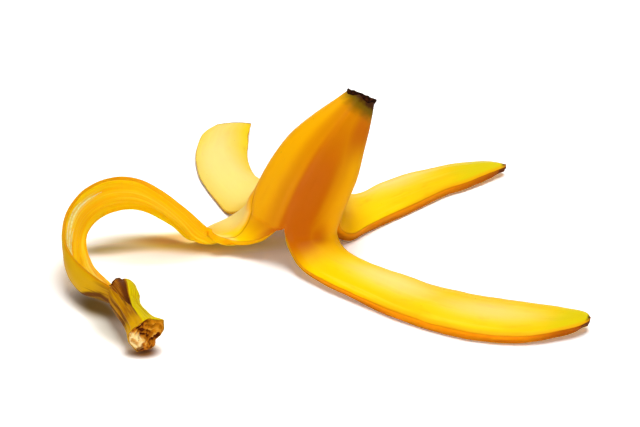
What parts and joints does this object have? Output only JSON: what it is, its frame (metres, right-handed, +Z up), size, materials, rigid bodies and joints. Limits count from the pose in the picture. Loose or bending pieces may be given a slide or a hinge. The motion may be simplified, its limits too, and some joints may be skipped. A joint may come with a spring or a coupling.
{
  "type": "banana peel",
  "caption": "Empty banana peel lying skin side up, its uncut end standing as a hollow cone and torn strips spread round it, one curling to the stem.",
  "frame": {"origin": "on the floor under the middle of the whole peel's box", "axes": "+X from the curled stem strip towards the end of the front strip, +Y towards the back strip, +Z up to the dark tip"},
  "size_m": [0.209, 0.1964, 0.0678],
  "materials": {
    "peel_skin": "smooth waxy yellow skin, green and brown towards the strips' ends",
    "pith": "dull fibrous inner side, pale yellow with lengthwise fibres",
    "torn_edge": "moist orange edge, browning",
    "stem_end": "rough torn fibre, cream and brown",
    "blossom_tip": "dry, almost black"
  },
  "bodies": {
    "root": {"peel": "peel_skin"}
  },
  "joints": []
}
